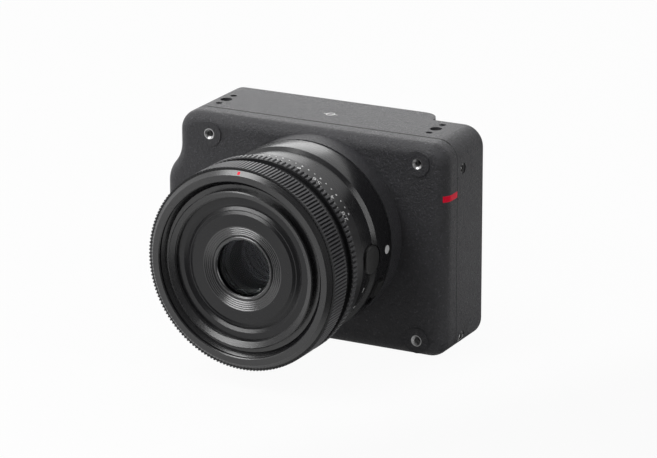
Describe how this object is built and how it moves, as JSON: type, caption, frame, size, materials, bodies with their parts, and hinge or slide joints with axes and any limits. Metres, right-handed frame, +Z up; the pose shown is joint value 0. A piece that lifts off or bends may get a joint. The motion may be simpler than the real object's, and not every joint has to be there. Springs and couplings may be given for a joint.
{
  "type": "industrial camera",
  "caption": "Compact box camera with a bayonet lens, ribbed aperture and focus rings, bladed iris, threaded fixing points, rear buttons, sockets and a card door.",
  "frame": {"origin": "mouth of the tripod thread in the bottom face, under the lens axis", "axes": "+Z up; the lens looks along -Y; +X is on the right of someone who faces the lens"},
  "size_m": [0.1063, 0.0899, 0.0746],
  "materials": {
    "housing": "fine-grained matt dark grey",
    "lens_metal": "black anodised, satin",
    "bare_aluminium": "bead-blasted",
    "bright_steel": "turned, satin",
    "mount_chrome": "polished",
    "black_screws": "black oxide",
    "shield_metal": "tinned sheet",
    "black_plastic": "moulded, matt",
    "button_plastic": "moulded, satin",
    "blade_black": "blackened, matt",
    "accent_red": "satin red",
    "coated_glass": "polished, coated",
    "sensor": "dark die in a ceramic package",
    "board_green": "solder mask",
    "light_lens": "translucent"
  },
  "bodies": {
    "camera": {"accent_stripe": "accent_red", "board_standoffs": "bare_aluminium", "body_mount_ring": "mount_chrome", "card_door_pin": "bright_steel", "card_slot": "shield_metal", "contact_block": "black_plastic", "front_cell": "black_plastic", "front_cover": "housing", "front_element": "coated_glass", "front_ring": "lens_metal", "guide_rods": "bright_steel", "hdmi_connector": "shield_metal", "heat_spreader": "bare_aluminium", "image_sensor": "sensor", "inner_barrel": "lens_metal", "io_connector": "shield_metal", "iris_base": "black_plastic", "iris_cover": "black_plastic", "lens_barrel": "lens_metal", "lens_mount": "mount_chrome", "m3_inserts": "bright_steel", "main_board": "board_green", "main_housing": "housing", "name_ring": "black_plastic", "power_connector": "shield_metal", "rear_cell": "black_plastic", "rear_cover": "housing", "rear_cover_screws": "black_screws", "rear_element": "coated_glass", "second_element": "coated_glass", "sensor_board": "board_green", "sensor_bracket": "bare_aluminium", "sensor_glass": "coated_glass", "status_light": "light_lens", "top_inserts": "bright_steel", "tripod_socket": "bright_steel", "usb_connector": "shield_metal"},
    "focus_ring": {"focus_ring": "lens_metal"},
    "aperture_ring": {"aperture_ring": "lens_metal"},
    "iris_ring": {"iris_ring": "black_plastic"},
    "focus_group": {"focus_cell": "black_plastic", "focus_element": "coated_glass"},
    "focus_switch": {"focus_switch": "button_plastic"},
    "click_switch": {"click_switch": "button_plastic"},
    "focus_hold_button": {"focus_hold_button": "button_plastic"},
    "lens_release": {"release_button": "button_plastic", "lens_lock_pin": "bright_steel"},
    "card_door": {"card_door": "black_plastic"},
    "direction_pad": {"direction_pad": "button_plastic"},
    "enter_button": {"enter_button": "button_plastic"},
    "menu_button": {"menu_button": "button_plastic"},
    "power_button": {"power_button": "button_plastic"},
    "blade_1": {"iris_blade_1": "blade_black"},
    "blade_2": {"iris_blade_2": "blade_black"},
    "blade_3": {"iris_blade_3": "blade_black"},
    "blade_4": {"iris_blade_4": "blade_black"},
    "blade_5": {"iris_blade_5": "blade_black"},
    "blade_6": {"iris_blade_6": "blade_black"},
    "blade_7": {"iris_blade_7": "blade_black"}
  },
  "joints": [
    {"name": "focus_turn", "type": "hinge", "parent": "camera", "child": "focus_ring", "pos_m": [0, -0.0664, 0.0403], "axis": [0, -1, 0], "continuous": true},
    {"name": "aperture_turn", "type": "hinge", "parent": "camera", "child": "aperture_ring", "pos_m": [0, -0.0535, 0.0403], "axis": [0, -1, 0], "range_deg": [-36, 63]},
    {"name": "iris_turn", "type": "hinge", "parent": "camera", "child": "iris_ring", "pos_m": [0, -0.0488, 0.0403], "axis": [0, 1, 0], "range_deg": [0, 4]},
    {"name": "blade_1_turn", "type": "hinge", "parent": "camera", "child": "blade_1", "pos_m": [0.015, -0.0505, 0.0403], "axis": [0, 1, 0], "range_deg": [0, 26]},
    {"name": "blade_2_turn", "type": "hinge", "parent": "camera", "child": "blade_2", "pos_m": [0.00935, -0.0505, 0.05203], "axis": [0, 1, 0], "range_deg": [0, 26]},
    {"name": "blade_3_turn", "type": "hinge", "parent": "camera", "child": "blade_3", "pos_m": [-0.00334, -0.0505, 0.05492], "axis": [0, 1, 0], "range_deg": [0, 26]},
    {"name": "blade_4_turn", "type": "hinge", "parent": "camera", "child": "blade_4", "pos_m": [-0.01351, -0.0505, 0.04681], "axis": [0, 1, 0], "range_deg": [0, 26]},
    {"name": "blade_5_turn", "type": "hinge", "parent": "camera", "child": "blade_5", "pos_m": [-0.01351, -0.0505, 0.03379], "axis": [0, 1, 0], "range_deg": [0, 26]},
    {"name": "blade_6_turn", "type": "hinge", "parent": "camera", "child": "blade_6", "pos_m": [-0.00334, -0.0505, 0.02568], "axis": [0, 1, 0], "range_deg": [0, 26]},
    {"name": "blade_7_turn", "type": "hinge", "parent": "camera", "child": "blade_7", "pos_m": [0.00935, -0.0505, 0.02857], "axis": [0, 1, 0], "range_deg": [0, 26]},
    {"name": "focus_travel", "type": "slide", "parent": "camera", "child": "focus_group", "axis": [0, -1, 0], "range_m": [-0.002, 0.0025]},
    {"name": "focus_mode_slide", "type": "hinge", "parent": "camera", "child": "focus_switch", "pos_m": [0, -0.0328, 0.0403], "axis": [0, -1, 0], "range_deg": [-7, 0]},
    {"name": "click_mode_slide", "type": "hinge", "parent": "camera", "child": "click_switch", "pos_m": [0, -0.0328, 0.0403], "axis": [0, -1, 0], "range_deg": [0, 7]},
    {"name": "hold_press", "type": "slide", "parent": "camera", "child": "focus_hold_button", "axis": [-1, 0, 0], "range_m": [0, 0.0006], "stiffness_N_per_m": 1500, "springref_m": -0.0003},
    {"name": "release_press", "type": "slide", "parent": "camera", "child": "lens_release", "axis": [0, 1, 0], "range_m": [0, 0.002], "stiffness_N_per_m": 1200, "springref_m": -0.001},
    {"name": "card_door_swing", "type": "hinge", "parent": "camera", "child": "card_door", "pos_m": [-0.0471, 0.0156, 0.024], "axis": [0, 0, 1], "range_deg": [0, 100]},
    {"name": "pad_tilt", "type": "hinge", "parent": "camera", "child": "direction_pad", "pos_m": [0.004, 0.0156, 0.045], "axis": [1, 0, 0], "range_deg": [-2.5, 2.5], "stiffness_Nm_per_rad": 0.6},
    {"name": "enter_press", "type": "slide", "parent": "camera", "child": "enter_button", "axis": [0, -1, 0], "range_m": [0, 0.0004], "stiffness_N_per_m": 1500, "springref_m": -0.0002},
    {"name": "menu_press", "type": "slide", "parent": "camera", "child": "menu_button", "axis": [0, -1, 0], "range_m": [0, 0.0004], "stiffness_N_per_m": 1500, "springref_m": -0.0002},
    {"name": "power_press", "type": "slide", "parent": "camera", "child": "power_button", "axis": [0, -1, 0], "range_m": [0, 0.0004], "stiffness_N_per_m": 1500, "springref_m": -0.0002}
  ],
  "couplings": [
    {"joint": "blade_1_turn", "follows": "iris_turn", "ratio": 6.5},
    {"joint": "blade_2_turn", "follows": "iris_turn", "ratio": 6.5},
    {"joint": "blade_3_turn", "follows": "iris_turn", "ratio": 6.5},
    {"joint": "blade_4_turn", "follows": "iris_turn", "ratio": 6.5},
    {"joint": "blade_5_turn", "follows": "iris_turn", "ratio": 6.5},
    {"joint": "blade_6_turn", "follows": "iris_turn", "ratio": 6.5},
    {"joint": "blade_7_turn", "follows": "iris_turn", "ratio": 6.5}
  ]
}
